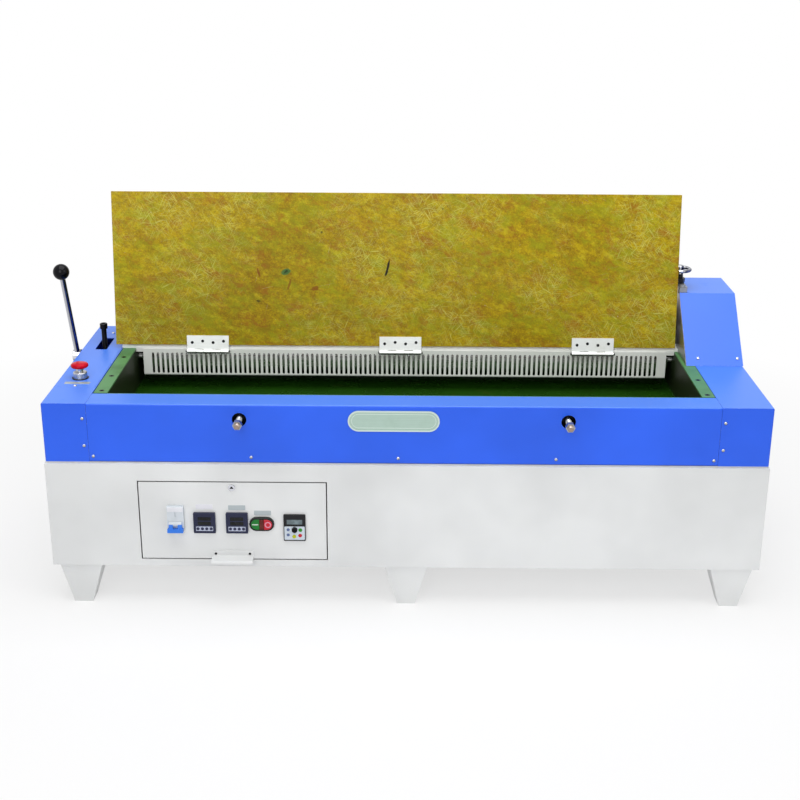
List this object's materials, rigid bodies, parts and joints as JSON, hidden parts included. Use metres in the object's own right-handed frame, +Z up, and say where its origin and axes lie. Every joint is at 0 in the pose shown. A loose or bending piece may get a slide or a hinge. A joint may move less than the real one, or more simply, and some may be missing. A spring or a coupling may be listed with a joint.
{
  "type": "hot melt roller coater",
  "caption": "Floor-standing hot melt roller coater with a heated glue tank, coating and press rollers, a folding feed board and a control drawer.",
  "frame": {"origin": "on the floor, in the middle of the whole footprint", "axes": "+X along the rollers to the drive end at the right, +Y from the operator's front to the rear, +Z up"},
  "size_m": [1.6028, 0.651, 0.8399],
  "materials": {
    "blue_paint": "gloss powder coat",
    "cream_paint": "satin powder coat",
    "amber_laminate": "glass and resin laminate, scuffed",
    "motor_paint": "satin",
    "green_coating": "non-stick release coating",
    "zinc_sheet": "zinc plated",
    "bright_steel": "stainless, brushed",
    "machined_plate": "milled",
    "roller_steel": "turned",
    "gear_steel": "hobbed and oiled",
    "dark_steel": "black oxide",
    "blade_steel": "ground",
    "heater_sheath": "heat tinted",
    "zinc_screws": "zinc plated",
    "black_screws": "black oxide",
    "chrome_roll": "hard chrome",
    "chrome_trim": "polished",
    "badge_silver": "satin",
    "silver_collar": "satin",
    "bronze": "turned bronze",
    "silicone_rubber": "ground silicone rubber",
    "black_plastic": "moulded",
    "device_black": "moulded",
    "device_grey": "moulded",
    "toggle_blue": "moulded",
    "button_green": "moulded",
    "button_red": "moulded",
    "knob_plastic": "moulded"
  },
  "bodies": {
    "machine": {"base_cabinet": "cream_paint", "feet": "cream_paint", "bed_plate": "zinc_sheet", "left_end_housing": "blue_paint", "left_top_cover": "blue_paint", "right_end_housing": "blue_paint", "front_fascia": "blue_paint", "rear_fascia": "blue_paint", "gear_cover": "blue_paint", "name_plate": "badge_silver", "panel_screws": "zinc_screws", "cable_gland": "black_plastic", "glue_tank": "green_coating", "tank_screws": "black_screws", "tank_heaters": "heater_sheath", "side_plate_left": "machined_plate", "side_plate_right": "machined_plate", "glue_roller_bushes": "bronze", "spindle_bridges": "machined_plate", "drive_gearmotor": "motor_paint", "guard_bar": "cream_paint", "slotted_guard": "cream_paint", "fixed_hinge_leaves": "bright_steel", "adjuster_brackets": "zinc_sheet", "estop_housing": "silver_collar"},
    "pinion": {"drive_pinion": "gear_steel"},
    "coating_roller": {"glue_roller": "chrome_roll", "glue_roller_gear": "gear_steel"},
    "press_lift": {"press_bearing_blocks": "machined_plate"},
    "press_roller": {"press_roller_core": "roller_steel", "press_roller_sleeve": "silicone_rubber", "press_roller_gear": "gear_steel"},
    "left_wheel": {"handwheel_left": "chrome_trim", "lift_spindle_left": "dark_steel"},
    "right_wheel": {"handwheel_right": "chrome_trim", "lift_spindle_right": "dark_steel"},
    "board": {"feed_board": "amber_laminate", "moving_hinge_leaves": "bright_steel", "hinge_pins": "bright_steel", "hinge_screws": "zinc_screws"},
    "lever": {"doctor_shaft": "bright_steel", "doctor_blade": "blade_steel", "lever_arm": "chrome_trim", "lever_knob": "knob_plastic", "stop_screw": "black_screws"},
    "left_adjuster": {"adjuster_left": "zinc_screws"},
    "right_adjuster": {"adjuster_right": "zinc_screws"},
    "drawer": {"drawer_front": "cream_paint", "drawer_tray": "zinc_sheet", "drawer_handle": "cream_paint", "breaker_body": "device_grey", "temperature_controllers": "black_plastic", "twin_button_housing": "device_black", "inverter_keypad": "black_plastic"},
    "lock": {"drawer_lock": "chrome_trim"},
    "toggle": {"breaker_toggle": "toggle_blue"},
    "start": {"start_button": "button_green"},
    "stop": {"stop_button": "button_red"},
    "dial": {"speed_dial": "knob_plastic"},
    "estop": {"estop_mushroom": "button_red"}
  },
  "joints": [
    {"name": "coating_roller_turn", "type": "hinge", "parent": "machine", "child": "coating_roller", "pos_m": [0.0194, 0.2015, 0.428], "axis": [1, 0, 0], "continuous": true},
    {"name": "press_lift_slide", "type": "slide", "parent": "machine", "child": "press_lift", "axis": [0, 0, 1], "range_m": [0, 0.005]},
    {"name": "press_roller_turn", "type": "hinge", "parent": "press_lift", "child": "press_roller", "pos_m": [0.0194, 0.2015, 0.5295], "axis": [1, 0, 0], "continuous": true},
    {"name": "pinion_turn", "type": "hinge", "parent": "machine", "child": "pinion", "pos_m": [0.0194, 0.12421, 0.39987], "axis": [1, 0, 0], "continuous": true},
    {"name": "left_wheel_turn", "type": "hinge", "parent": "machine", "child": "left_wheel", "pos_m": [-0.6486, 0.2015, 0.652], "axis": [0, 0, 1], "range_deg": [-450, 0]},
    {"name": "right_wheel_turn", "type": "hinge", "parent": "machine", "child": "right_wheel", "pos_m": [0.6764, 0.2015, 0.652], "axis": [0, 0, 1], "range_deg": [-450, 0]},
    {"name": "board_fold", "type": "hinge", "parent": "machine", "child": "board", "pos_m": [0.0194, 0.1015, 0.467], "axis": [1, 0, 0], "range_deg": [0, 98.5]},
    {"name": "doctor_lever", "type": "hinge", "parent": "machine", "child": "lever", "pos_m": [0.0194, 0.1445, 0.441], "axis": [1, 0, 0], "range_deg": [-40, 0]},
    {"name": "left_adjuster_turn", "type": "hinge", "parent": "machine", "child": "left_adjuster", "pos_m": [-0.3386, -0.2805, 0.437], "axis": [0, 1, 0], "range_deg": [-180, 180]},
    {"name": "right_adjuster_turn", "type": "hinge", "parent": "machine", "child": "right_adjuster", "pos_m": [0.3634, -0.2805, 0.437], "axis": [0, 1, 0], "range_deg": [-180, 180]},
    {"name": "drawer_slide", "type": "slide", "parent": "machine", "child": "drawer", "axis": [0, -1, 0], "range_m": [0, 0.25]},
    {"name": "lock_turn", "type": "hinge", "parent": "drawer", "child": "lock", "pos_m": [-0.36, -0.2845, 0.281], "axis": [0, 1, 0], "range_deg": [0, 90]},
    {"name": "breaker_flip", "type": "hinge", "parent": "drawer", "child": "toggle", "pos_m": [-0.4843, -0.2925, 0.1972], "axis": [-1, 0, 0], "range_deg": [0, 70]},
    {"name": "start_press", "type": "slide", "parent": "drawer", "child": "start", "axis": [0, 1, 0], "range_m": [0, 0.003], "stiffness_N_per_m": 300, "springref_m": -0.002},
    {"name": "stop_press", "type": "slide", "parent": "drawer", "child": "stop", "axis": [0, 1, 0], "range_m": [0, 0.003], "stiffness_N_per_m": 300, "springref_m": -0.002},
    {"name": "dial_turn", "type": "hinge", "parent": "drawer", "child": "dial", "pos_m": [-0.225, -0.2845, 0.1842], "axis": [0, 1, 0], "range_deg": [0, 270]},
    {"name": "estop_press", "type": "slide", "parent": "machine", "child": "estop", "axis": [0, 0, -1], "range_m": [0, 0.004], "stiffness_N_per_m": 600, "springref_m": -0.003}
  ],
  "couplings": [
    {"joint": "press_roller_turn", "follows": "coating_roller_turn", "ratio": -1},
    {"joint": "pinion_turn", "follows": "coating_roller_turn", "ratio": -1.6111},
    {"joint": "left_wheel_turn", "follows": "press_lift_slide", "rad_per_m": -1570.8},
    {"joint": "right_wheel_turn", "follows": "press_lift_slide", "rad_per_m": -1570.8}
  ]
}
